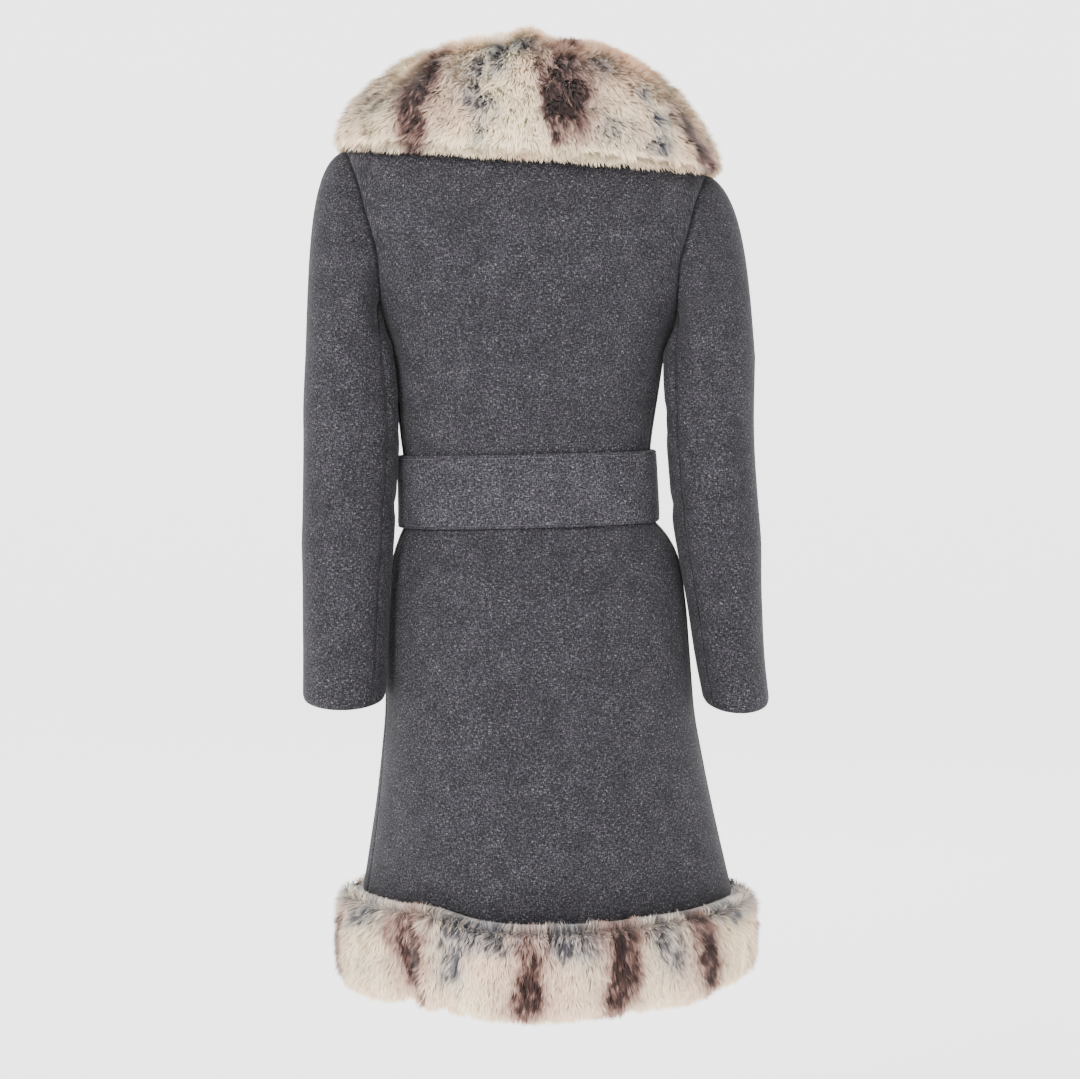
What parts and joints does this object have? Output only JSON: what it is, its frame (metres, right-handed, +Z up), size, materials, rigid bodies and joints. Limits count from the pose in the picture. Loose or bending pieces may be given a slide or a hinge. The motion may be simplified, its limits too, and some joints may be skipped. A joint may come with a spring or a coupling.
{
  "type": "fur-trimmed coat",
  "caption": "Knee-length grey wool coat, hollow as worn, with two-piece sleeves, a wide cloth belt, a deep shawl-like fur collar and a fur band round the hem.",
  "frame": {"origin": "middle of the neck opening, at the height where the shoulder seams end, where the wearer's shoulders hold the coat", "axes": "+Z up; +Y out of the front, so the back faces -Y; +X towards the wearer's right"},
  "size_m": [0.4995, 0.3688, 1.0245],
  "materials": {
    "wool": "matte melange wool with a soft nap",
    "fur": "dense soft fur, cream with brown and grey bands"
  },
  "bodies": {
    "root": {"back": "wool", "front_right": "wool", "front_left": "wool", "sleeve_right_upper": "wool", "sleeve_right_under": "wool", "sleeve_left_upper": "wool", "sleeve_left_under": "wool", "belt": "wool", "fur_collar_right": "fur", "fur_collar_left": "fur", "fur_hem": "fur"}
  },
  "joints": []
}
